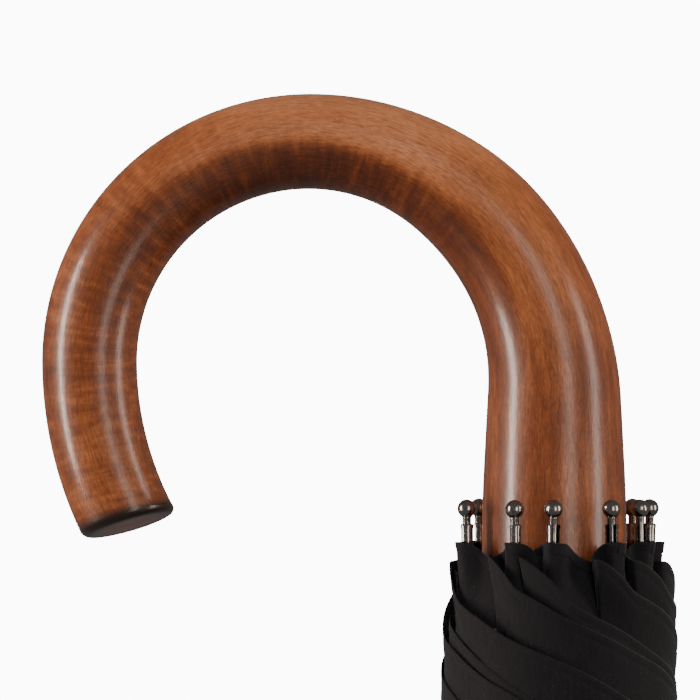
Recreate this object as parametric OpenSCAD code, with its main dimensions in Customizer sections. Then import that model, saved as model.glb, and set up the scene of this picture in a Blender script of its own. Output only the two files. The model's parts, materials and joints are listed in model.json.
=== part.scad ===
// Stick umbrella with a wooden crook handle, held handle up with its canopy rolled.
// Millimetres, +Z up. The origin is the centre of the ferrule cap's flat end, on the shaft's axis,
// and the crook opens towards -X.

/* [Ribs] */
// Length of a rib from its eye at the top notch to the ball on its tip
rib_len = 620; // [580:5:680]
// Distance from that eye to the stretcher's rivet, which is the stretcher's length too
ring_at = 270; // [250:5:280]
// Lean of a closed rib away from the shaft, in degrees
closed_angle = 1; // [0.9:0.05:1.1]
// Width of a rib's channel
rib_w = 1.8; // [1.6:0.1:1.8]
// Depth of a rib's channel
rib_h = 2; // [1.8:0.1:2]
// Diameter of the ball on each tip
ball_d = 3.9; // [3:0.1:4.2]

/* [Shaft and ferrule] */
// Outer diameter of the steel shaft
shaft_d = 10; // [9:0.5:10]
// Height of the top notch's wire above the ferrule's end
notch_z = 95; // [90:1:110]
// Length of the ferrule cap
cap_len = 24; // [18:1:26]
// Distance of the pivot wires from the shaft's axis
pivot_r = 9.2; // [9.2:0.1:10]

/* [Crook handle] */
// Diameter of the crook's stock
crook_d = 20; // [17:0.5:22]
// Diameter of the grip at the handle's base
grip_d = 30.4; // [26:0.4:31]
// Radius of the hook's centre line
hook_r = 46.2; // [42:0.2:52]
// Distance of the hook's centre from the shaft's axis
hook_reach = 51.4; // [48:0.2:58]
// Height of the hook's centre above the rib tips
hook_rise = 30.8; // [28:0.2:36]

/* [Canopy] */
// Thickness of the rolled cloth's outer layers
skin_t = 1.8; // [1:0.1:2]
// Height of the tie band
band_h = 20; // [15:1:25]

/* [Hidden] */
$fn = 48;
rib_count = 10;
rib_step = 360 / rib_count;
// Azimuth of the first rib, and how far each closed tip strays from its even place in the roll
first_rib = -171.2;
tip_stray = [14, 20, 8, 9, 0, -9, -11, -11, -11, -11];
// The canopy cloth is three sectors, each starting at a rib and spanning whole gores
sector_start = [0, 3, 6];
sector_gores = [3, 3, 4];

shaft_r = shaft_d / 2;
wall = 0.45;
wire_r = 0.55;
eye_r = 0.65;
rivet_r = 0.6;
tab_w = 1.2;
slot_w = 1.7;
hub_r = shaft_r + 1.6;
crown_r = pivot_r + 1.8;
crown_h = 6;
tip_r = pivot_r + rib_len * sin(closed_angle);
tip_z = notch_z + rib_len * cos(closed_angle);
runner_z = notch_z + 2 * ring_at * cos(closed_angle);
open_angle = 80;
runner_travel = 2 * ring_at * (cos(closed_angle) - cos(open_angle));
flex_at = ring_at + 20;
flex_x = -0.35;
bend_at = flex_at + 55;
sleeve_len = 47;
handle_base = tip_z - 25;
handle_bore = 38;
catch_w = 1.4;
catch_travel = 2.4;
bottom_catch_z = runner_z + 26;
top_catch_z = runner_z + sleeve_len - runner_travel + 0.5;
split_z = notch_z + flex_at * cos(closed_angle);
hem_z = tip_z - 7.6;
gap = 0.3;

function one_based(n) = [for (i = [1:n]) i];
function names(word, list) = [for (i = list) str(word, "_", i)];

// ---------- Places ----------

function rib_azimuth(i) = first_rib + rib_step * (i - 1);

// Local +Z runs along rib i from its eye, +X faces away from the shaft
module along_rib(i) {
    rotate([0, 0, rib_azimuth(i)])
    translate([pivot_r, 0, notch_z])
    rotate([0, closed_angle, 0])
    children();
}

// The last stretch of a closed rib leans sideways to its tip's place in the roll
module along_rib_end(i) {
    reach = rib_len - bend_at;
    stray = tip_stray[i - 1];
    along_rib(i)
    translate([0, 0, bend_at])
    rotate([-atan(tip_r * sin(stray) / reach), atan(tip_r * (cos(stray) - 1) / reach), 0])
    children();
}

// Local +Z runs along stretcher i from its rivet towards the runner
module along_stretcher(i) {
    along_rib(i)
    translate([0, 0, ring_at])
    rotate([0, -2 * closed_angle, 0])
    children();
}

// ---------- Repeated shapes ----------

// Box between two corners
module box(low, high) {
    translate(low) cube(high - low);
}

// Cylinder across a rib or stretcher, centred on it
module cross_pin(r, length) {
    rotate([90, 0, 0]) cylinder(r = r, h = length, center = true);
}

// Channel of folded steel from z0 to z1 that opens towards the shaft
module channel(z0, z1, w, h) {
    difference() {
        box([-h / 2, -w / 2, z0], [h / 2, w / 2, z1]);
        box([-h, -w / 2 + wall, z0 - 1], [h / 2 - wall, w / 2 - wall, z1 + 1]);
    }
}

// Round ring of wire lying level
module wire_ring() {
    rotate_extrude() translate([pivot_r, 0]) circle(r = wire_r, $fn = 24);
}

// Slotted crown that ten eyes turn in, with a groove for the wire that threads them
module slotted_crown(bore_r) {
    difference() {
        rotate_extrude() translate([bore_r, -crown_h / 2]) square([crown_r - bore_r, crown_h]);
        for (i = [1:rib_count])
            rotate([0, 0, rib_azimuth(i)])
            box([hub_r + 0.3, -slot_w / 2, -crown_h], [crown_r + 1, slot_w / 2, crown_h]);
        rotate_extrude() translate([pivot_r - eye_r, -eye_r]) square([crown_r, 2 * eye_r]);
    }
}

// Tube with a square section wall
module ring(r_in, r_out, z0, z1) {
    rotate_extrude() translate([r_in, z0]) square([r_out - r_in, z1 - z0]);
}

// ---------- Crook handle ----------

// Each section is [x, z, heading, radius]; heading 90 is up and 180 is towards -X
tail_r = 73.7;
tail_turn = 26.5;
edge_r = 2.4;
spring_z = tip_z + 23;
hook_z = tip_z + hook_rise;
crook_r = crook_d / 2;
grip_r = grip_d / 2;
rise_h = hook_z + hook_r - spring_z;
// Stock radius at angles round the rising quarter, as a share of the way from crook to grip
taper = [[0, 0.80], [12, 0.62], [27, 0.48], [47, 0.34], [65, 0.12], [80, 0.02], [90, 0]];

function stock(share) = crook_r + (grip_r - crook_r) * share;
function grip_sections() = [
    for (p = [[0, 0.93], [1.5, 1], [14, 1], [28, 1], [38, 0.93]])
    [0, handle_base + p[0], 90, stock(p[1]) - (p[0] == 0 ? 0.6 : 0)]
];
function rise_sections() = [
    for (u = [0:6:84])
    [
        -hook_reach + hook_reach * cos(u),
        spring_z + rise_h * sin(u),
        atan2(rise_h * cos(u), -hook_reach * sin(u)),
        stock(lookup(u, taper))
    ]
];
function hook_sections() = [
    for (u = [90:7.5:172.5])
    [-hook_reach + hook_r * cos(u), hook_z + hook_r * sin(u), u + 90, crook_r]
];
function tail_at(turn, past, r) = [
    -hook_reach - hook_r + tail_r * (1 - cos(turn)) + past * sin(turn),
    hook_z - tail_r * sin(turn) - past * cos(turn),
    270 + turn,
    r
];
function tail_sections() = [for (b = [0:tail_turn / 4:tail_turn - 1]) tail_at(b, 0, crook_r)];
function end_sections() = [
    for (e = [0:22.5:90])
    tail_at(tail_turn, edge_r * (sin(e) - 1), crook_r - edge_r * (1 - cos(e)))
];
crook_sections = concat(
    grip_sections(),
    rise_sections(),
    hook_sections(),
    tail_sections(),
    end_sections()
);
crook_sides = 24;

function section_points(s) = [
    for (k = [0:crook_sides - 1])
    let (t = 360 * k / crook_sides)
    [
        s[0] - s[3] * cos(t) * sin(s[2]),
        s[3] * sin(t),
        s[1] + s[3] * cos(t) * cos(s[2])
    ]
];
function side_faces(count, sides) = [
    for (i = [0:count - 2], k = [0:sides - 1], half = [0, 1])
    let (n = (k + 1) % sides, a = i * sides, b = a + sides)
    half == 0 ? [a + k, a + n, b + n] : [a + k, b + n, b + k]
];

module crook_stock() {
    count = len(crook_sections);
    last = (count - 1) * crook_sides;
    polyhedron(
        points = [for (s = crook_sections) each section_points(s)],
        faces = concat(
            side_faces(count, crook_sides),
            [[for (k = [crook_sides - 1:-1:0]) k]],
            [[for (k = [0:crook_sides - 1]) last + k]]
        )
    );
}

module crook_handle() {
    color("peru")
    difference() {
        crook_stock();
        translate([0, 0, handle_base - 1]) cylinder(r = shaft_r + 0.02, h = handle_bore + 1);
    }
}

// ---------- Shaft and ferrule ----------

module catch_slot(z0, z1) {
    box([-catch_w / 2 - 0.2, 0, z0 - 0.4], [catch_w / 2 + 0.2, shaft_r + 1, z1 + 0.4]);
}

module shaft() {
    color("dimgray")
    difference() {
        ring(shaft_r - 0.8, shaft_r, cap_len + 10.2, handle_base + handle_bore - 0.5);
        catch_slot(bottom_catch_z, bottom_catch_z + 9);
        catch_slot(top_catch_z, top_catch_z + 9);
    }
}

module ferrule() {
    color("dimgray")
    rotate_extrude()
    polygon([
        [0, cap_len], [shaft_r + 0.6, cap_len], [shaft_r + 2, notch_z - 12],
        [shaft_r + 0.01, notch_z - 12], [shaft_r + 0.01, cap_len + 10], [0, cap_len + 10]
    ]);
}

module ferrule_cap() {
    color("silver")
    rotate_extrude()
    polygon([[0, 0], [shaft_r - 0.8, 0], [shaft_r, 0.8], [shaft_r, cap_len], [0, cap_len]]);
}

module canopy_cap() {
    color("dimgray")
    translate([0, 0, notch_z])
    rotate_extrude()
    polygon([
        [shaft_r + 0.02, -11.5], [hub_r + 1, -11.5], [crown_r + 1.5, -5.5],
        [crown_r + 1.5, -4.5], [shaft_r + 0.02, -4.5]
    ]);
}

module top_notch() {
    color("dimgray")
    translate([0, 0, notch_z]) {
        slotted_crown(shaft_r + 0.01);
        ring(shaft_r + 0.01, hub_r, crown_h / 2, 10);
    }
}

module notch_wire() {
    color("silver") translate([0, 0, notch_z]) wire_ring();
}

// ---------- Runner and its catches ----------

module runner() {
    bore_r = shaft_r + 0.09;
    color("dimgray")
    difference() {
        translate([0, 0, runner_z]) {
            slotted_crown(bore_r);
            ring(bore_r, hub_r + 0.6, crown_h / 2, sleeve_len - 6);
            ring(bore_r, hub_r + 1.6, sleeve_len - 6, sleeve_len);
        }
        translate([0, 0, bottom_catch_z]) box([-1.3, 0, -1], [1.3, crown_r, 10]);
    }
}

module runner_wire() {
    color("silver") translate([0, 0, runner_z]) wire_ring();
}

// Sprung tongue that stands out of the shaft; its square shoulder is at z = 0
module catch_tongue() {
    y_in = shaft_r - 2.2;
    rotate([90, 0, 90])
    linear_extrude(height = catch_w, center = true)
    polygon([
        [y_in, 0], [shaft_r + 2.1, 0], [shaft_r + 2.1, 2],
        [shaft_r, 8.4], [shaft_r - 1, 9], [y_in, 9]
    ]);
}

module top_catch() {
    color("silver") translate([0, 0, top_catch_z]) catch_tongue();
}

module bottom_catch() {
    color("silver") translate([0, 0, bottom_catch_z + 9]) mirror([0, 0, 1]) catch_tongue();
}

// ---------- Ribs ----------

module rib_inner(i) {
    fill_h = rib_h - wall;
    color("dimgray")
    along_rib(i) {
        difference() {
            union() {
                cross_pin(1.3, tab_w);
                box([-1.2, -tab_w / 2, 0], [rib_h / 2, tab_w / 2, 8]);
                box([-rib_h / 2, -rib_w / 2, 7], [rib_h / 2, rib_w / 2, 10]);
                channel(9, flex_at + 3, rib_w, rib_h);
                box([-fill_h / 2, -rib_w / 2, ring_at - 3], [rib_h / 2, rib_w / 2, ring_at + 3]);
            }
            cross_pin(eye_r, 2 * tab_w);
            translate([0, 0, ring_at]) cross_pin(rivet_r + 0.01, 2 * rib_w);
        }
        translate([0, 0, ring_at]) rivet();
    }
}

// Headed rivet that joins a rib to its stretcher
module rivet() {
    cross_pin(rivet_r, 3.1);
    for (side = [-1, 1])
        translate([0, side * 1.75, 0]) cross_pin(1.1, 0.45);
}

module rib_outer(i) {
    color("dimgray") {
        along_rib(i) {
            translate([flex_x, 0, flex_at]) cross_pin(0.8, 0.8);
            box([flex_x - 0.8, -0.4, flex_at], [flex_x + 0.8, 0.4, flex_at + 7]);
            box([-rib_h / 2, -rib_w / 2, flex_at + 5], [rib_h / 2, rib_w / 2, flex_at + 8]);
            channel(flex_at + 7, bend_at + 0.2, rib_w, rib_h);
        }
        along_rib_end(i) {
            channel(0, rib_len - bend_at - 20, rib_w, rib_h);
            translate([0, 0, rib_len - bend_at - 21]) cylinder(r = 0.9, h = 2);
            translate([0, 0, rib_len - bend_at - 20]) cylinder(r = 0.75, h = 12);
        }
    }
}

// Ball, neck and sleeve that close the hem over a rib's end
module rib_tip(i) {
    sleeve_r = 1.25;
    color("dimgray")
    along_rib_end(i)
    translate([0, 0, rib_len - bend_at]) {
        sphere(r = ball_d / 2);
        translate([0, 0, -5]) cylinder(r = 0.7, h = 4);
        difference() {
            translate([0, 0, -18]) cylinder(r = sleeve_r, h = 14);
            translate([0, 0, -19]) cylinder(r = 0.8, h = 12);
        }
    }
}

module stretcher(i) {
    cheek_in = rib_w / 2 + 0.1;
    cheek_out = cheek_in + 0.4;
    h = 1.2;
    end = ring_at;
    color("dimgray")
    along_stretcher(i)
    difference() {
        union() {
            for (side = [-1, 1]) {
                y = side * (cheek_in + cheek_out) / 2;
                translate([0, y, 0]) cross_pin(1.5, cheek_out - cheek_in);
                box([-h, y - 0.2, 0], [h, y + 0.2, end - 8]);
            }
            box([-h - 0.4, -cheek_out, 14], [-h, cheek_out, end - 8]);
            box([-h - 0.4, -cheek_out, end - 11], [h, cheek_out, end - 8]);
            box([-h, -tab_w / 2, end - 9], [h, tab_w / 2, end]);
            translate([0, 0, end]) cross_pin(1.3, tab_w);
        }
        cross_pin(rivet_r + 0.07, 4);
        translate([0, 0, end]) cross_pin(eye_r, 2 * tab_w);
    }
}

// ---------- Canopy and tie band ----------

// Outer radius of the roll at heights from the notch, fullest just below the hem
roll = [[0, 12.8], [200, 18.4], [385, 22], [463, 23.6], [483, 23.6], [577, 25.4], [602, 24.4], [612, 23]];

function roll_r(h) = lookup(h, roll);

// Profile of the rolled cloth between two heights above the notch
module roll_profile(h0, h1) {
    stops = concat([h0], [for (p = roll) if (p[0] > h0 && p[0] < h1) p[0]], [h1]);
    last = len(stops) - 1;
    polygon(concat(
        [for (h = stops) [roll_r(h), notch_z + h]],
        [for (k = [last:-1:0]) [roll_r(stops[k]) - skin_t, notch_z + stops[k]]]
    ));
}

// One sector of the rolled cloth, with a hair of room to its neighbours
module canopy_sector(s, h0, h1) {
    room = 1;
    color("black")
    rotate([0, 0, rib_azimuth(1 + sector_start[s - 1]) + room])
    rotate_extrude(angle = sector_gores[s - 1] * rib_step - 2 * room)
    roll_profile(h0, h1);
}

module canopy_crown(s) {
    canopy_sector(s, 3.5, split_z - notch_z - gap);
}

module canopy_skirt(s) {
    canopy_sector(s, split_z - notch_z + gap, hem_z - notch_z);
}

band_z = notch_z + 473;
band_r = roll_r(473) + 0.4;

module tie_band() {
    color("black") ring(band_r, band_r + 0.8, band_z - band_h / 2, band_z + band_h / 2);
}

module band_snap() {
    color("dimgray")
    rotate([0, 0, -60])
    translate([band_r + 0.9, 0, band_z])
    rotate([0, 90, 0]) {
        cylinder(r = 5, h = 0.8);
        cylinder(r = 3.4, h = 1.6);
    }
}

crook_handle();
shaft();
ferrule();
ferrule_cap();
canopy_cap();
top_notch();
notch_wire();
runner();
runner_wire();
top_catch();
bottom_catch();
tie_band();
band_snap();
for (i = [1:rib_count]) {
    rib_inner(i);
    rib_outer(i);
    rib_tip(i);
    stretcher(i);
}
for (s = [1:3]) {
    canopy_crown(s);
    canopy_skirt(s);
}
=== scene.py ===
"""Looks for the stick umbrella: crook handle, rib tips, rolled canopy and the canopy when it is open."""
import json
import math
import random

import bpy
import numpy as np
from mathutils import Matrix, Vector


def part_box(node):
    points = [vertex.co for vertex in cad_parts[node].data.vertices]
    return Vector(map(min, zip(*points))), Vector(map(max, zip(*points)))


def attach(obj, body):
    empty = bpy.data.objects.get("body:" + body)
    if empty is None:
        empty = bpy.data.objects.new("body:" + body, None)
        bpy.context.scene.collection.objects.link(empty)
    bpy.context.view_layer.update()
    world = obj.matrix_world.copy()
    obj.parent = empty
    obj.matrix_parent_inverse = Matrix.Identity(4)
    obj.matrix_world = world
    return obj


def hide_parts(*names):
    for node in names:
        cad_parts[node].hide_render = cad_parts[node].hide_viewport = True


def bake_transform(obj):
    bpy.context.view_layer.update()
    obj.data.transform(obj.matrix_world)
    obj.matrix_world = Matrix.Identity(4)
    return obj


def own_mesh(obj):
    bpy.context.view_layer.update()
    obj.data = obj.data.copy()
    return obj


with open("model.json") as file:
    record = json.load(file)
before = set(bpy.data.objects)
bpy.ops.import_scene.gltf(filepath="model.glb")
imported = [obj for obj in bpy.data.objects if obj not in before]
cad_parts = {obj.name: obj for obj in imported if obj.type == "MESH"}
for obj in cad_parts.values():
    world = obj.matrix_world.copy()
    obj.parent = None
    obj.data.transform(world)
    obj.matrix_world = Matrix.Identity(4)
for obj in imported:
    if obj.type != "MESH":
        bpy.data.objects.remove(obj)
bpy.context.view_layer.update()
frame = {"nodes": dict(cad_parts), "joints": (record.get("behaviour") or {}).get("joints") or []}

# ---------- Sizes from the frame, in metres ----------

MM = 0.001
RIBS = 10
RIB_STEP = math.radians(36)
JOINTS = {j["name"]: j for j in frame["joints"]}
FIRST_EYE = Vector(JOINTS["open_rib_1"]["pos_m"])
NOTCH_Z = FIRST_EYE.z
PIVOT_R = FIRST_EYE.xy.length
FIRST_RIB = math.atan2(FIRST_EYE.y, FIRST_EYE.x)
TIP_BOXES = {i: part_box(f"rib_tip_{i}") for i in range(1, RIBS + 1)}
BALL_R = 1.95 * MM
TIP_Z = TIP_BOXES[5][1].z - BALL_R
HANDLE_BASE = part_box("crook_handle")[0].z
TIP_CENTRES = {
    i: Vector(((low.x + high.x) / 2, (low.y + high.y) / 2, high.z - BALL_R))
    for i, (low, high) in TIP_BOXES.items()
}


def polar(r, angle, z):
    return Vector((r * math.cos(angle), r * math.sin(angle), z))


def clamp(t):
    return min(max(t, 0.0), 1.0)


def smooth(t):
    t = clamp(t)
    return t * t * (3 - 2 * t)


def quarter_round(t):
    return math.sqrt(1 - (1 - clamp(t)) ** 2)


# ---------- Camera, lights and stage ----------

VIEW_W = 147 * MM
VIEW_CENTRE = Vector((-42.9 * MM, 0, 748.1 * MM))
LENS = 800
SENSOR = 36
STRIP_FAR = 1.1
STRIP_LIFT = 0.07
STRIP_TALL = 0.8
WARM = (1, 0.86, 0.76)
# Name, degrees round from the camera, width, power, and whether the object mirrors it
STRIPS = (
    ("left", -75, 0.11, 13, True),
    ("right", 75, 0.22, 4.8, True),
    ("middle", 27, 0.3, 3.2, True),
    ("left_edge", -115, 0.35, 7, False),
    ("right_edge", 112, 0.35, 5, False),
)
FLOOR_HALF = 20


def add_camera():
    data = bpy.data.cameras.new("camera")
    data.lens = LENS
    data.sensor_width = SENSOR
    data.clip_end = 200
    camera = bpy.data.objects.new("camera", data)
    bpy.context.scene.collection.objects.link(camera)
    camera.location = VIEW_CENTRE + Vector((0, -LENS / SENSOR * VIEW_W, 0))
    camera.rotation_euler = (math.radians(90), 0, 0)
    bpy.context.scene.camera = camera


def add_area(name, place, size, power, mirrored=False, colour=(1, 1, 1)):
    """A rectangular lamp aimed at the middle of the view."""
    data = bpy.data.lights.new(name, "AREA")
    data.shape = "RECTANGLE"
    data.size, data.size_y = size
    data.energy = power
    data.color = colour
    light = bpy.data.objects.new(name, data)
    bpy.context.scene.collection.objects.link(light)
    light.location = place
    light.rotation_euler = (VIEW_CENTRE - place).to_track_quat("-Z", "Y").to_euler()
    light.visible_camera = False
    light.visible_glossy = mirrored


def add_lights():
    """Upright strips that draw the highlights along the stick, and soft light from in front and above."""
    for name, side, width, power, mirrored in STRIPS:
        turn = math.radians(side)
        place = VIEW_CENTRE + Vector((STRIP_FAR * math.sin(turn), -STRIP_FAR * math.cos(turn), STRIP_LIFT))
        add_area(f"strip_{name}", place, (width, STRIP_TALL), power, mirrored, WARM)
    add_area("front_fill", VIEW_CENTRE + Vector((0, -1.6, 1.2)), (1.6, 1.2), 17)
    add_area("top_fill", VIEW_CENTRE + Vector((0, 0.1, 1.5)), (1.4, 1.4), 11)
    add_world()


def add_world():
    """A seamless white background, which lights the object only softly."""
    world = bpy.data.worlds.new("studio")
    world.use_nodes = True
    tree = world.node_tree
    soft = tree.nodes["Background"]
    soft.inputs["Color"].default_value = (0.95, 0.93, 0.9, 1)
    soft.inputs["Strength"].default_value = 0.15
    white = node(tree, "ShaderNodeBackground", Strength=14)
    seen = node(tree, "ShaderNodeLightPath")
    mix = node(tree, "ShaderNodeMixShader")
    tree.links.new(seen.outputs["Is Camera Ray"], mix.inputs["Fac"])
    tree.links.new(soft.outputs[0], mix.inputs[1])
    tree.links.new(white.outputs[0], mix.inputs[2])
    tree.links.new(mix.outputs[0], tree.nodes["World Output"].inputs["Surface"])
    bpy.context.scene.world = world


def add_stage():
    """A pale floor that is seen, but neither lights the object nor shows in it."""
    corners = [(x * FLOOR_HALF, y * FLOOR_HALF, 0) for x, y in ((-1, -1), (1, -1), (1, 1), (-1, 1))]
    mesh = bpy.data.meshes.new("floor")
    mesh.from_pydata(corners, [], [(0, 1, 2, 3)])
    floor = bpy.data.objects.new("floor", mesh)
    bpy.context.scene.collection.objects.link(floor)
    mat, shader, _ = new_material("pale_floor")
    shader.inputs["Base Color"].default_value = (0.9, 0.9, 0.9, 1)
    shader.inputs["Roughness"].default_value = 0.9
    shader.inputs["Emission Color"].default_value = (1, 1, 1, 1)
    shader.inputs["Emission Strength"].default_value = 1.6
    mesh.materials.append(mat)
    floor.visible_diffuse = False
    floor.visible_glossy = False


# ---------- Material helpers ----------


def new_material(name):
    mat = bpy.data.materials.new(name)
    mat.use_nodes = True
    shader = mat.node_tree.nodes["Principled BSDF"]
    return mat, shader, mat.node_tree


def node(tree, kind, **settings):
    made = tree.nodes.new(kind)
    for key, value in settings.items():
        if key in made.inputs:
            made.inputs[key].default_value = value
        else:
            setattr(made, key, value)
    return made


def ramp(tree, source, stops):
    made = tree.nodes.new("ShaderNodeValToRGB")
    elements = made.color_ramp.elements
    while len(elements) < len(stops):
        elements.new(0.5)
    for element, (place, colour) in zip(elements, stops):
        element.position = place
        element.color = (*colour, 1)
    tree.links.new(source, made.inputs["Fac"])
    return made.outputs["Color"]


def grey(v):
    return (v, v, v)


def math_node(tree, operation, a, b):
    made = tree.nodes.new("ShaderNodeMath")
    made.operation = operation
    for socket, value in zip(made.inputs, (a, b)):
        if isinstance(value, (int, float)):
            socket.default_value = value
        else:
            tree.links.new(value, socket)
    return made.outputs[0]


def scaled(tree, source, amount, centre=0.0, lift=0.0):
    """(source - centre) * amount + lift."""
    made = node(tree, "ShaderNodeMath", operation="MULTIPLY_ADD")
    tree.links.new(source, made.inputs[0])
    made.inputs[1].default_value = amount
    made.inputs[2].default_value = lift - centre * amount
    return made.outputs[0]


def mix_colour(tree, fac, a, b, blend_type="MIX"):
    made = tree.nodes.new("ShaderNodeMix")
    made.data_type = "RGBA"
    made.blend_type = blend_type
    for socket, value in zip((made.inputs[0], made.inputs[6], made.inputs[7]), (fac, a, b)):
        if isinstance(value, (int, float)):
            socket.default_value = value
        elif isinstance(value, tuple):
            socket.default_value = (*value, 1)
        else:
            tree.links.new(value, socket)
    return made.outputs[2]


def noise(tree, vector, scale, detail=4, roughness=0.55):
    made = node(tree, "ShaderNodeTexNoise", Scale=scale, Detail=detail, Roughness=roughness)
    tree.links.new(vector, made.inputs["Vector"])
    return made.outputs["Fac"]


def stretched(tree, vector, scale):
    made = node(tree, "ShaderNodeMapping")
    made.inputs["Scale"].default_value = scale
    tree.links.new(vector, made.inputs["Vector"])
    return made.outputs["Vector"]


def bump(tree, shader, height, strength, distance, layer="Normal"):
    made = node(tree, "ShaderNodeBump", Strength=strength, Distance=distance)
    tree.links.new(height, made.inputs["Height"])
    tree.links.new(made.outputs["Normal"], shader.inputs[layer])


# ---------- Materials ----------


def wood_material():
    """Stained maple: painted light from above on the outside of the bend, dark stain and flame on the inside,
    fine grain all over.
    """
    mat, shader, tree = new_material("stained_maple")
    stick = node(tree, "ShaderNodeAttribute", attribute_name="stick").outputs["Vector"]
    inner = node(tree, "ShaderNodeAttribute", attribute_name="inner").outputs["Fac"]
    end = node(tree, "ShaderNodeAttribute", attribute_name="end").outputs["Fac"]
    grip = node(tree, "ShaderNodeAttribute", attribute_name="grip").outputs["Fac"]
    flame = noise(tree, stretched(tree, stick, (0.22, 0.22, 1)), 520, 4, 0.6)
    streak = noise(tree, stretched(tree, stick, (1, 1, 0.1)), 420, 5, 0.65)
    cloud = noise(tree, stretched(tree, stick, (1, 1, 0.5)), 75, 3, 0.5)
    stipple = noise(tree, stretched(tree, stick, (1, 1, 0.35)), 2600, 3, 0.7)
    hairs = noise(tree, stretched(tree, stick, (1, 1, 0.09)), 3400, 3, 0.6)
    figure = mix_colour(tree, grip, flame, streak)
    deep = math_node(tree, "MULTIPLY", scaled(tree, inner, 2.0, 0.24), scaled(tree, figure, 1.0, 0.5))
    # The inner attribute holds the real stain and painted light from above on the outside of the bend; cloud,
    # stipple and flame are added to it
    scorch_and_painted_light = inner
    for source, amount in ((cloud, 0.55), (stipple, 0.34), (figure, 0.35)):
        scorch_and_painted_light = math_node(tree, "ADD", scorch_and_painted_light, scaled(tree, source, amount, 0.5))
    scorch_and_painted_light = math_node(tree, "ADD", scorch_and_painted_light, deep)
    base = ramp(
        tree,
        scorch_and_painted_light,
        [
            (0.0, (0.55, 0.2, 0.075)),
            (0.22, (0.35, 0.105, 0.029)),
            (0.42, (0.19, 0.046, 0.0095)),
            (0.66, (0.105, 0.0225, 0.0052)),
            (1.0, (0.05, 0.011, 0.0032)),
        ],
    )
    darker_hairs = ramp(tree, hairs, [(0.34, grey(0.5)), (0.56, grey(1.0))])
    base = mix_colour(tree, 0.8, base, darker_hairs, "MULTIPLY")
    base = mix_colour(tree, end, base, (0.016, 0.006, 0.004))
    tree.links.new(base, shader.inputs["Base Color"])
    tree.links.new(ramp(tree, stipple, [(0.25, grey(0.36)), (0.75, grey(0.52))]), shader.inputs["Roughness"])
    shader.inputs["Specular IOR Level"].default_value = 0.35
    shader.inputs["Coat Weight"].default_value = 0.7
    shader.inputs["Coat Roughness"].default_value = 0.2
    grain = math_node(tree, "ADD", hairs, stipple)
    bump(tree, shader, grain, 0.3, 0.1 * MM)
    bump(tree, shader, grain, 0.16, 0.1 * MM, "Coat Normal")
    return mat


def metal_material(name, colour, low, high):
    """Metal with faint wear, its roughness running from low to high."""
    mat, shader, tree = new_material(name)
    where = node(tree, "ShaderNodeTexCoord").outputs["Object"]
    wear = noise(tree, where, 1500, 5, 0.6)
    tree.links.new(ramp(tree, wear, [(0.3, grey(low)), (0.7, grey(high))]), shader.inputs["Roughness"])
    darker = tuple(c * 0.72 for c in colour)
    tree.links.new(ramp(tree, wear, [(0.25, darker), (0.6, colour)]), shader.inputs["Base Color"])
    shader.inputs["Metallic"].default_value = 1
    bump(tree, shader, wear, 0.08, 0.1 * MM)
    return mat


def lacquer_material():
    """Black lacquered steel, faintly streaked along its length."""
    mat, shader, tree = new_material("black_lacquer")
    where = node(tree, "ShaderNodeTexCoord").outputs["Object"]
    streak = noise(tree, stretched(tree, where, (1, 1, 0.05)), 700, 4, 0.6)
    base = ramp(tree, streak, [(0.3, (0.008, 0.008, 0.009)), (0.8, (0.03, 0.03, 0.032))])
    tree.links.new(base, shader.inputs["Base Color"])
    tree.links.new(ramp(tree, streak, [(0.3, grey(0.22)), (0.8, grey(0.36))]), shader.inputs["Roughness"])
    shader.inputs["Coat Weight"].default_value = 0.3
    return mat


def cloth_material():
    """Black woven cloth: threads both ways, slubs, faded patches and a few flecks of lint."""
    mat, shader, tree = new_material("black_pongee")
    weave_at = node(tree, "ShaderNodeAttribute", attribute_name="weave").outputs["Vector"]
    warp = node(tree, "ShaderNodeTexWave", Scale=900, Distortion=0.6, Detail=1)
    weft = node(tree, "ShaderNodeTexWave", Scale=900, Distortion=0.6, Detail=1, bands_direction="Y")
    for wave in (warp, weft):
        tree.links.new(weave_at, wave.inputs["Vector"])
    threads = math_node(tree, "ADD", warp.outputs["Fac"], weft.outputs["Fac"])
    slub = noise(tree, stretched(tree, weave_at, (1, 0.12, 1)), 1400, 4, 0.6)
    patch = noise(tree, weave_at, 60, 3, 0.5)
    height = math_node(tree, "ADD", math_node(tree, "MULTIPLY", threads, 0.35), slub)
    lint = noise(tree, weave_at, 520, 1, 0.4)
    base = ramp(tree, slub, [(0.3, (0.0035, 0.0034, 0.0044)), (0.7, (0.0085, 0.0083, 0.0104))])
    faded = ramp(tree, patch, [(0.3, grey(0.0)), (0.8, grey(0.5))])
    flecks = ramp(tree, lint, [(0.8, grey(0.0)), (0.84, grey(0.5))])
    base = mix_colour(tree, faded, base, (0.0112, 0.011, 0.0132))
    base = mix_colour(tree, flecks, base, (0.2, 0.2, 0.19))
    tree.links.new(base, shader.inputs["Base Color"])
    shader.inputs["Roughness"].default_value = 0.78
    shader.inputs["Sheen Weight"].default_value = 0.09
    shader.inputs["Sheen Roughness"].default_value = 0.4
    shader.inputs["Specular IOR Level"].default_value = 0.22
    bump(tree, shader, height, 0.4, 0.12 * MM)
    return mat


# ---------- Mesh helpers ----------


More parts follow.
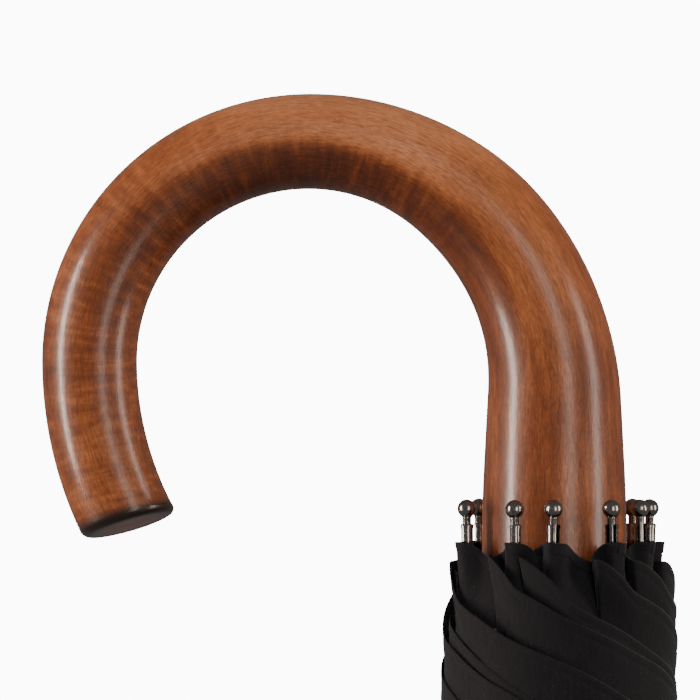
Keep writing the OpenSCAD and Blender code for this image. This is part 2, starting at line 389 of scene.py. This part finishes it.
def new_piece(name, verts, faces, material, body=None, attributes=None):
    """A mesh object with its point attributes; it rides on body unless body is None."""
    mesh = bpy.data.meshes.new(name)
    mesh.from_pydata([tuple(v) for v in verts], [], faces)
    for key, values in (attributes or {}).items():
        values = np.array(values, np.float32)
        if values.ndim == 2:
            mesh.attributes.new(key, "FLOAT_VECTOR", "POINT").data.foreach_set("vector", values.ravel())
        else:
            mesh.attributes.new(key, "FLOAT", "POINT").data.foreach_set("value", values)
    mesh.update()
    mesh.polygons.foreach_set("use_smooth", [True] * len(mesh.polygons))
    mesh.materials.append(material)
    piece = bpy.data.objects.new(name, mesh)
    bpy.context.scene.collection.objects.link(piece)
    if body:
        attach(piece, body)
    return piece


def grid_faces(rows, columns, wrap=False):
    """Quads over rows of equal length; wrap joins each row's end to its start."""
    faces = []
    for i in range(rows - 1):
        for k in range(columns if wrap else columns - 1):
            n = (k + 1) % columns
            a, b = i * columns, (i + 1) * columns
            faces.append((a + k, a + n, b + n, b + k))
    return faces


# ---------- Crook handle ----------

CROOK_R = 10 * MM
GRIP_R = 15.2 * MM
HOOK_R = 46.2 * MM
HOOK_REACH = 51.4 * MM
HOOK_Z = TIP_Z + 30.8 * MM
SPRING_Z = TIP_Z + 23 * MM
RISE_H = HOOK_Z + HOOK_R - SPRING_Z
TAIL_R = 73.7 * MM
TAIL_TURN = math.radians(26.5)
EDGE_R = 1.6 * MM
END_TILT = math.radians(9)
END_CUT = math.radians(10)
END_MORE = 1.7 * MM
ROUND_SIDES = 72
# The stock's taper round the rising quarter: degrees round, and share of the way from crook to grip
TAPER = ((0, 0.80), (12, 0.62), (27, 0.48), (47, 0.34), (65, 0.12), (80, 0.02), (90, 0))


def stock(share):
    return CROOK_R + (GRIP_R - CROOK_R) * share


def crook_sections():
    """Centre x, centre z, heading and radius of each section, from the base round to the free end."""
    made = []
    for height in np.linspace(0, SPRING_Z - HANDLE_BASE, 26)[:-1]:
        swell = 1 - 0.2 * smooth((height - 24 * MM) / (24 * MM))
        made.append((0, HANDLE_BASE + height, math.pi / 2, stock(swell)))
    angles, shares = zip(*TAPER)
    for u in np.linspace(0, 90, 50)[:-1]:
        r = math.radians(u)
        heading = math.atan2(RISE_H * math.cos(r), -HOOK_REACH * math.sin(r))
        place = (-HOOK_REACH + HOOK_REACH * math.cos(r), SPRING_Z + RISE_H * math.sin(r))
        made.append((*place, heading, stock(np.interp(u, angles, shares))))
    for u in np.linspace(math.pi / 2, math.pi, 48)[:-1]:
        place = (-HOOK_REACH + HOOK_R * math.cos(u), HOOK_Z + HOOK_R * math.sin(u))
        made.append((*place, u + math.pi / 2, CROOK_R))
    for turn in np.linspace(0, TAIL_TURN, 20)[:-1]:
        made.append((*tail_place(turn, 0), 1.5 * math.pi + turn, CROOK_R))
    for e in np.linspace(0, math.pi / 2, 9):
        place = tail_place(TAIL_TURN, EDGE_R * (math.sin(e) - 1))
        made.append((*place, 1.5 * math.pi + TAIL_TURN, CROOK_R - EDGE_R * (1 - math.cos(e))))
    return made


def stain_and_painted_light(heading, inward):
    """How dark the wood is: painted light from above on the outside of the top of the bend, a real dark stain
    inside; inward runs from -1 to 1.
    """
    turn = math.degrees(heading)
    middle = 0.27 - 0.42 * (turn - 135) / 90
    # Painted light: the outside of the top of the bend is made lighter, as if lit from above
    light = 0.37 * math.exp(-(((turn - 170) / 64) ** 2)) * (1 - smooth((inward - middle + 0.22) / 0.4))
    # The dark stain inside the bend is the wood's own
    dark = 0.21 * math.exp(-(((turn - 178) / 44) ** 2)) * smooth((inward - middle + 0.12) / 0.4)
    return 0.47 - light + dark - 0.08 * smooth((turn - 268) / 15)


def tail_place(turn, past):
    """Centre x and z on the tail after the hook, past of the way beyond the angle turn."""
    x = -HOOK_REACH - HOOK_R + TAIL_R * (1 - math.cos(turn)) + past * math.sin(turn)
    return x, HOOK_Z - TAIL_R * math.sin(turn) - past * math.cos(turn)


def cut(r, t):
    """How far the sloping cut reaches past the centre line's end, at one place on its face."""
    return r * (math.sin(t) * math.tan(END_TILT) + math.cos(t) * math.tan(END_CUT)) + END_MORE


def round_the_stick(x, z, heading, r, t, onward):
    """The point at angle t round a section, moved onward along the stick."""
    across = Vector((-math.cos(t) * math.sin(heading), math.sin(t), math.cos(t) * math.cos(heading)))
    return Vector((x, 0, z)) + across * r + Vector((math.cos(heading), 0, math.sin(heading))) * onward


def blended_radii(sections):
    """The radii smoothed along the stick, apart from the last sections with the rounded edge."""
    radii = np.array([s[3] for s in sections])
    blended = np.convolve(np.pad(radii, 4, "edge"), np.ones(9) / 9, "valid")
    keep = len(sections) - 14
    radii[:keep] = blended[:keep]
    return radii


def make_crook():
    sections = crook_sections()
    radii = blended_radii(sections)
    along = [0.0]
    for a, b in zip(sections, sections[1:]):
        along.append(along[-1] + math.dist(a[:2], b[:2]))
    length = along[-1]
    angles = [2 * math.pi * k / ROUND_SIDES for k in range(ROUND_SIDES)]
    verts, stick, inner, end, grip = [], [], [], [], []
    for (x, z, heading, _), r, s in zip(sections, radii, along):
        near_end = smooth((s - (length - 22 * MM)) / (22 * MM))
        for t in angles:
            verts.append(round_the_stick(x, z, heading, r, t, near_end * cut(r, t)))
            stick.append((r * math.cos(t), r * math.sin(t), s))
            # Real stain inside the bend, and painted light from above on the outside of its top
            inner.append(stain_and_painted_light(heading, math.cos(t)))
            end.append(smooth((s - (length - 3.6 * MM)) / (2.4 * MM)))
            grip.append(1 - smooth((s - 75 * MM) / (40 * MM)))
    # The end grain: rings of shrinking radius, less scorched inwards, round a small disc
    x, z, heading, _ = sections[-1]
    for share, scorched in ((0.93, 0.8), (0.75, 0.15), (0.5, 0), (0.25, 0)):
        ring_r = radii[-1] * share
        for t in angles:
            dome = 0.25 * MM * (1 - share)
            verts.append(round_the_stick(x, z, heading, ring_r, t, cut(ring_r, t) + dome))
            stick.append((ring_r * math.cos(t), ring_r * math.sin(t), length))
            inner.append(0.4)
            end.append(scorched)
            grip.append(0)
    rings = len(verts) // ROUND_SIDES
    faces = grid_faces(rings, ROUND_SIDES, wrap=True)
    faces.append(tuple(range((rings - 1) * ROUND_SIDES, rings * ROUND_SIDES)))
    faces.append(tuple(range(ROUND_SIDES - 1, -1, -1)))
    marks = {"stick": stick, "inner": inner, "end": end, "grip": grip}
    crook = new_piece("crook", verts, faces, wood_material(), "pole", marks)
    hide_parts("crook_handle")


# ---------- Rib tips ----------


def lathe(profile, sides, start=0, sweep=2 * math.pi):
    """Rings of points round local Z for (radius, height) pairs, and the quads between them."""
    closed = sweep >= 2 * math.pi - 1e-6
    columns = sides if closed else sides + 1
    angles = [start + sweep * k / sides for k in range(columns)]
    verts = [(r * math.cos(a), r * math.sin(a), z) for r, z in profile for a in angles]
    return verts, grid_faces(len(profile), columns, closed)


NECK_R = 0.92 * MM
CUP_OUT = 1.34 * MM
CUP_IN = 1.0 * MM
CUP_OPENING = math.radians(96)
# Radius and height above the ball's centre
NECK = (
    (NECK_R * 1.12, -1.72 * MM),
    (NECK_R, -1.95 * MM),
    (NECK_R, -3.3 * MM),
    (NECK_R * 0.9, -3.6 * MM),
    (NECK_R * 0.9, -9 * MM),
)
CUP = (
    (NECK_R * 0.95, -3.15 * MM),
    (CUP_OUT + 0.1 * MM, -3.3 * MM),
    (CUP_OUT + 0.12 * MM, -3.75 * MM),
    (CUP_OUT, -4.3 * MM),
    (CUP_OUT, -6.6 * MM),
    (CUP_OUT * 0.96, -9 * MM),
    (CUP_IN * 0.96, -9 * MM),
    (CUP_IN, -4.2 * MM),
    (NECK_R * 0.95, -3.4 * MM),
    (NECK_R * 0.95, -3.15 * MM),
)


def small_lean(rng, axis):
    return Matrix.Rotation(rng.uniform(-0.03, 0.03), 4, axis)


def make_tips(material):
    """Ball, neck and slit sleeve of each rib tip, each leaning a little its own way."""
    rng = random.Random(4)
    ball = [(BALL_R * math.sin(a), BALL_R * math.cos(a)) for a in np.linspace(0.02, math.pi * 0.86, 22)]
    for i in range(1, RIBS + 1):
        verts, faces = lathe([*ball, *NECK], 32)
        slit_at = FIRST_RIB + RIB_STEP * (i - 1) + rng.uniform(-1.0, 1.0)
        cup_verts, cup_faces = lathe(CUP, 30, slit_at + CUP_OPENING / 2, 2 * math.pi - CUP_OPENING)
        faces += [tuple(len(verts) + v for v in f) for f in cup_faces]
        verts += cup_verts
        place = Matrix.Translation(TIP_CENTRES[i]) @ (small_lean(rng, "X") @ small_lean(rng, "Y"))
        placed = [place @ Vector(v) for v in verts]
        tip = new_piece(f"tip_{i}", placed, faces, material, f"rib_end_{i}")
        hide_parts(f"rib_tip_{i}")


# ---------- Rolled canopy ----------

LEAN = math.atan2(TIP_CENTRES[5].xy.length - PIVOT_R, TIP_Z - NOTCH_Z)
BEND_H = 345 * MM
APEX_H = 5 * MM
HEM_H = TIP_Z - 7 * MM - NOTCH_Z
WRAP = 172 * MM
SKIN_R = 24 * MM
LOOP_DROP = 3.7 * MM
FRONT_DROP = 9.4 * MM
HEM_SLOPE = 0.5
COLUMN_LEFT = 2 * MM
COLUMN_RIGHT = 3.4 * MM
COLUMN_PROUD = 1.3 * MM
LOPSIDED = 1.15 * MM
HOLLOW = 2.4 * MM
# Radius at which distances round the columns are measured
COLUMN_R = 22 * MM
LOOP_START = 0.3
STITCH_AT = 2.1 * MM
# Distance below the hem and inset, in millimetres, of the two rows turned in behind it
TURNED_IN = ((0.12, 0.28), (2.4, 0.34))
# Outer radius of the roll at heights above the notch, as the CAD canopy has it, in millimetres
ROLL = ((0, 12.8), (200, 18.4), (385, 22), (463, 23.6), (483, 23.6), (577, 25.4), (602, 24.4), (612, 23))
ROLL_HEIGHTS, ROLL_RADII = (np.array(side) * MM for side in zip(*ROLL))


def roll_r(h):
    return float(np.interp(h, ROLL_HEIGHTS, ROLL_RADII))


def core_r(h):
    """Radius just outside the ribs."""
    return PIVOT_R + h * math.tan(LEAN) + 1.55 * MM


def rib_azimuth(i, h):
    """Where rib i stands in the roll: evenly at the notch, and at its own tip at the top."""
    even = FIRST_RIB + RIB_STEP * (i - 1)
    centre = TIP_CENTRES[(i - 1) % RIBS + 1]
    at_tip = math.atan2(centre.y, centre.x)
    stray = (at_tip - even + math.pi) % (2 * math.pi) - math.pi
    share = max(0.0, (h - BEND_H) / (TIP_Z - NOTCH_Z - BEND_H))
    return even + stray * share


def waves(rng, count, longest):
    """A smooth random curve of one variable, between about -1 and 1."""
    terms = []
    for k in range(1, count + 1):
        size = rng.uniform(0.5, 1) / k
        terms.append((size, k * 2 * math.pi / longest, rng.uniform(0, 6.28)))
    total = sum(t[0] for t in terms)
    return lambda x: sum(a * math.sin(f * x + p) for a, f, p in terms) / total


def rest_rows():
    """Distances of the mesh rows below the hem, close together near it."""
    rows = [0, 0.5, 1.1, 1.7, 2.1, 2.5, 3.2, 4.2]
    while rows[-1] < 70:
        rows.append(rows[-1] + 1.6)
    while rows[-1] < 560:
        rows.append(rows[-1] + 22)
    return [r * MM for r in rows]


class Pleat:
    """The gore between rib i and the next, folded double and wrapped round the roll."""

    def __init__(self, i, rng):
        self.i = i
        self.loop = math.radians(rng.uniform(14, 20))
        self.loop_drop = LOOP_DROP * rng.uniform(0.75, 1.2)
        self.front_drop = FRONT_DROP * rng.uniform(0.9, 1.12)
        self.slope = HEM_SLOPE * rng.uniform(0.94, 1.06)
        self.puff = rng.uniform(1.3, 2.1) * MM
        self.wander = waves(rng, 4, 60 * MM)
        self.ripple = waves(rng, 5, 45 * MM)

    def hem(self, part, share):
        """Angle past the rib and drop of the hem; part is wall, front or back, share runs 0 to 1 along it."""
        full = WRAP / SKIN_R
        if part == "wall":
            return -self.loop * share, self.loop_drop * max(0.0, share - LOOP_START) / (1 - LOOP_START)
        if part == "front":
            angle = -self.loop + (full + self.loop) * share
            ease = smooth((angle + self.loop) / self.loop / 1.6)
            early = self.loop_drop + (self.front_drop - self.loop_drop) * ease
            run = max(0.0, angle) * SKIN_R
            return angle, early + self.slope * run + 0.7 * MM * self.wander(run)
        angle = full * (1 - share)
        run = angle * SKIN_R
        end_drop = self.front_drop + self.slope * full * SKIN_R
        level = max(0.0, run - COLUMN_RIGHT)
        near = 1.5 * MM * smooth(level / (4 * MM)) + 0.16 * level
        return angle, near + (end_drop - near) * (1 - share) ** 1.5

    def point(self, part, share, below):
        """Angle, height above the notch and radius of the cloth, at a distance below the hem."""
        angle, drop = self.hem(part, share)
        top = HEM_H - drop
        v = 1 - below / (HEM_H - APEX_H)
        h = APEX_H + (top - APEX_H) * v
        depth = top - h
        shrink = v * (roll_r(HEM_H - 40 * MM) / roll_r(h)) if v < 0.93 else 1 - (1 - v) * 0.6
        full = WRAP / SKIN_R * shrink
        here = rib_azimuth(self.i, h)
        after = rib_azimuth(self.i + 1, h)
        if part == "back":
            fold = here + full
            turned = fold + (after - fold) * share
        else:
            loop_keep = math.exp(-depth / (30 * MM)) if angle < 0 else shrink
            turned = here + angle * loop_keep
        past = turned - here
        core, skin = core_r(h), roll_r(h)
        x = max(0.0, (past + self.loop) / (full + self.loop))
        climb = 0.7 * (1 - math.exp(-x / 0.06)) + 0.3 * x
        r = core + (skin - core) * climb
        near_hem = math.exp(-((depth / (8 * MM)) ** 2))
        pocket = math.exp(-((depth / (13 * MM)) ** 2))
        column = math.exp(-depth / (25 * MM))
        lip = 0.5 * self.puff
        # How freely the cloth follows the roll's dents: least on the walls and beside a column
        loose = 1.0
        if part == "wall":
            column *= math.exp(-((past * COLUMN_R / COLUMN_LEFT) ** 4))
            inside = core - HOLLOW * pocket
            r = inside + (core + COLUMN_PROUD - inside) * column
            r += (core + lip * near_hem - r) * (1 - quarter_round((1 - share) / LOOP_START))
            loose = 0.3 + 0.7 * share ** 2
        elif part == "front":
            rise = quarter_round((angle + self.loop) / (0.4 * self.loop))
            r += (lip + (self.puff - lip) * rise) * near_hem * math.exp(-max(0.0, past) / 0.9)
            r += (0.4 + 0.15 * self.ripple(past * SKIN_R)) * MM * near_hem
        else:
            ahead = max(0.0, past - (after - here)) * COLUMN_R
            column *= math.exp(-((ahead / COLUMN_RIGHT) ** 4))
            tucked = pocket * (1 - smooth((ahead - 20 * MM) / (14 * MM)))
            r -= 0.09 * MM
            r += (core - HOLLOW - 0.02 * ahead - r) * tucked
            r += (core + COLUMN_PROUD - r) * column
            loose = 0.3 + 0.7 * smooth(ahead / (8 * MM))
        return turned, h, r + shared_dent(turned, h) * loose


def shared_dent(turned, h):
    """Gentle dents and lean of the whole roll, the same for every layer so that they stay apart."""
    a = math.sin(3 * turned + h / (31 * MM)) * math.sin(h / (23 * MM) + 1.3)
    b = math.sin(5 * turned - h / (17 * MM) + 0.7)
    lean = LOPSIDED * math.cos(turned) * smooth((h - 500 * MM) / (60 * MM))
    return (0.28 * a + 0.16 * b) * MM + lean


def pleat_mesh(pleat):
    """Rows from the apex to the hem, then a turned-in hem; columns from rib to rib by way of the fold."""
    stations = [("wall", s) for s in np.linspace(0, 1, 25)[:-1]]
    stations += [("front", s) for s in np.linspace(0, 1, 104) ** 1.4]
    stations += [("back", s) for s in 1 - (1 - np.linspace(0, 1, 72)[1:]) ** 1.6]
    rows = rest_rows()
    columns = len(stations)
    verts, weave = [], []
    for below in reversed(rows):
        groove = 0.16 * MM * math.exp(-(((below - STITCH_AT) / (0.45 * MM)) ** 2))
        for part, share in stations:
            turned, h, r = pleat.point(part, share, below)
            verts.append(polar(r - groove, turned, NOTCH_Z + h))
    hem_row = verts[-columns:]
    for drop, inset in TURNED_IN:
        for part, share in stations:
            turned, h, r = pleat.point(part, share, drop * MM)
            r += (0.36 if part == "back" else -0.6) * inset * MM
            verts.append(polar(r, turned, NOTCH_Z + h))
    across = np.cumsum([0.0] + [(b - a).length for a, b in zip(hem_row, hem_row[1:])])
    heights = [HEM_H - below for below in reversed(rows)] + [HEM_H + 0.3 * MM, HEM_H + 2.4 * MM]
    for height in heights:
        weave += [(place * height / HEM_H, height, pleat.i * 0.7) for place in across]
    return verts, grid_faces(len(heights), columns), weave


def gather(piece):
    """Hang the rolled cloth on the pole, with a mesh of its own."""
    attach(piece, "pole")
    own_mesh(piece)


def make_rolled_gores(material):
    rng = random.Random(11)
    for i in range(1, RIBS + 1):
        verts, faces, weave = pleat_mesh(Pleat(i, rng))
        gore = new_piece(f"rolled_gore_{i}", verts, faces, material, None, {"weave": weave})
        gather(gore)


# ---------- Tie band ----------


STRAP_SIDES = 120
LAP_AT = math.radians(318)
LAP_HALF = math.radians(24)
# The snap's radii and heights, in millimetres
SNAP = (
    (5, 0), (5, 0.5), (4.7, 0.85), (4.1, 0.95), (3.8, 0.8),
    (3.3, 1.1), (2.4, 1.6), (1.2, 1.85), (0.05, 1.9),
)


def strap_section(half):
    """How far out in millimetres, and how far up: two stitched edges and a slightly full middle."""
    edge = [(0.75, half), (0.95, half - 0.5 * MM), (0.8, half - 1.6 * MM), (0.95, half - 2.4 * MM)]
    return [(0, -half), *((out, -up) for out, up in edge), (1.0, 0), *reversed(edge), (0, half)]


def make_tie_band(material, metal):
    """A strap round the roll with its end lapped over, and the snap that closes it."""
    low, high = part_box("tie_band")
    middle, half = (low.z + high.z) / 2, (high.z - low.z) / 2
    inner = high.x - 0.8 * MM
    section = strap_section(half)
    verts, weave = [], []
    for k in range(STRAP_SIDES):
        angle = 2 * math.pi * k / STRAP_SIDES
        lap = 0.45 * MM * smooth(1 - abs(angle - LAP_AT) / LAP_HALF)
        sway = 0.25 * MM * math.sin(5 * angle + 1)
        for out, up in section:
            verts.append(polar(inner + out * MM + lap * (out > 0), angle, middle + up + sway))
            weave.append((angle * inner, up, 0.3))
    count = len(section)
    faces = []
    for k in range(STRAP_SIDES):
        a, b = k * count, (k + 1) % STRAP_SIDES * count
        for c in range(count):
            d = (c + 1) % count
            faces.append((a + c, b + c, b + d, a + d))
    strap = new_piece("tie_strap", verts, faces, material, None, {"weave": weave})
    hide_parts("tie_band")
    gather(strap)
    verts, faces = lathe([(r * MM, z * MM) for r, z in SNAP], 40)
    centre = sum(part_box("band_snap"), Vector()) / 2
    out = Vector((centre.x, centre.y, 0)).normalized()
    turn = out.to_track_quat("Z", "Y").to_matrix().to_4x4()
    place = Matrix.Translation(out * (inner + 1.2 * MM) + Vector((0, 0, middle))) @ turn
    snap = new_piece("snap_cap", [place @ Vector(v) for v in verts], faces, metal)
    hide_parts("band_snap")
    gather(snap)


# ---------- Open canopy ----------

OPEN = math.radians(JOINTS["open_rib_1"]["range_deg"][1])
FLEX = -OPEN / 3
SLIVER = 4.5 * MM
# First rib and number of gores of each sector
FANS = ((1, 3), (4, 3), (7, 4))
# How far the cloth lies outside the ribs, and how much more at their hinges
CLOTH_OUT = 1.75 * MM
OVER_HINGE = 0.95 * MM
SEAM = 1.6 * MM
# Distances along a rib from its eye to the cloth's start and to its hem
OPEN_START = 13 * MM
OPEN_HEM = 607 * MM
SCALLOP = 26 * MM
# Rows of points in each part of a fan, and columns to a gore
FAN_ROWS = {"crown": 20, "skirt": 28}
GORE_COLUMNS = 16


def turn_about(joint, angle):
    """The turn of a joint's child by an angle."""
    point, axis = Vector(JOINTS[joint]["pos_m"]), Vector(JOINTS[joint]["axis"])
    there = Matrix.Translation(point)
    return there @ Matrix.Rotation(angle, 4, axis) @ there.inverted()


def blend_share(target, span, r):
    """Where across the sliver a point lies so that it opens to the target angle at radius r."""
    low, high = 0.0, 2.0
    for _ in range(30):
        t = (low + high) / 2
        if smooth(t) * span + math.atan2(t * SLIVER, r) < target:
            low = t
        else:
            high = t
    return low


def make_fan(number, start, gores, kind, material):
    """Cloth over several gores, drawn as a sliver beside rib start while closed, its points placed from where
    they would lie spread round the shaft when open.
    """
    eye = Vector(JOINTS[f"open_rib_{start}"]["pos_m"])
    flex_at = (Vector(JOINTS[f"flex_rib_{start}"]["pos_m"]) - eye).length
    opened = turn_about(f"open_rib_{start}", OPEN)
    if kind == "crown":
        carrier, first, last = f"rib_{start}", OPEN_START, flex_at + SEAM
    else:
        opened = opened @ turn_about(f"flex_rib_{start}", FLEX)
        carrier, first, last = f"rib_end_{start}", flex_at - SEAM, OPEN_HEM
    outward = Vector((eye.x, eye.y, 0)).normalized()
    tangent = Vector((-outward.y, outward.x, 0))
    along = Matrix.Rotation(LEAN, 3, tangent) @ Vector((0, 0, 1))
    away = Matrix.Rotation(LEAN, 3, tangent) @ outward
    closed = opened.inverted()
    span = gores * RIB_STEP
    verts, weave = [], []
    rows, columns = FAN_ROWS[kind], gores * GORE_COLUMNS + 2
    for row in range(rows):
        v = row / (rows - 1)
        for column in range(columns):
            angle = span * min(column / (columns - 2), 1)
            into = angle % RIB_STEP
            across = min(into, RIB_STEP - into)
            chord = math.cos(RIB_STEP / 2) / math.cos(RIB_STEP / 2 - across)
            bulge = math.sin(math.pi * into / RIB_STEP) ** 2
            s = first + (last - first) * v - (SCALLOP * bulge * v ** 3 if kind == "skirt" else 0)
            out = CLOTH_OUT + OVER_HINGE * math.exp(-abs(s - flex_at) / (25 * MM))
            there = opened @ (eye + along * s + away * out)
            r = Vector((there.x, there.y)).length
            tuck = r * chord * (1 - 0.012 * bulge)
            lap = SEAM / tuck if column == columns - 1 else 0
            t = blend_share(angle + lap, span, tuck)
            base = math.sqrt(max(tuck ** 2 - (t * SLIVER) ** 2, 1e-12))
            verts.append(closed @ (outward * base + Vector((0, 0, there.z))) + tangent * (t * SLIVER))
            weave.append((angle * tuck, s, number * 0.4))
    faces = grid_faces(rows, columns)
    fan = new_piece(f"open_{kind}_{number}", verts, faces, material, None, {"weave": weave})
    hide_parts(f"canopy_{kind}_{number}")
    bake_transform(fan)


def make_open_canopy(material):
    for number, (start, gores) in enumerate(FANS, 1):
        for kind in ("crown", "skirt"):
            make_fan(number, start, gores, kind, material)


# ---------- Carried-over metal parts ----------


def dress_cad(nodes, material):
    """Give CAD solids that stay in view a material."""
    for name in nodes:
        mesh = frame["nodes"][name].data
        mesh.materials.clear()
        mesh.materials.append(material)


add_camera()
add_lights()
add_stage()
gunmetal = metal_material("gunmetal", (0.36, 0.335, 0.32), 0.14, 0.3)
nickel = metal_material("nickel", (0.7, 0.68, 0.64), 0.12, 0.26)
lacquer = lacquer_material()
cloth = cloth_material()
make_crook()
make_tips(gunmetal)
make_rolled_gores(cloth)
make_tie_band(cloth, gunmetal)
make_open_canopy(cloth)
dress_cad(["shaft", "ferrule", "canopy_cap", "top_notch", "runner"], lacquer)
for part in ("rib_inner", "rib_outer", "stretcher"):
    dress_cad([f"{part}_{i}" for i in range(1, RIBS + 1)], lacquer)
dress_cad(["ferrule_cap", "notch_wire", "runner_wire", "top_catch", "bottom_catch"], nickel)
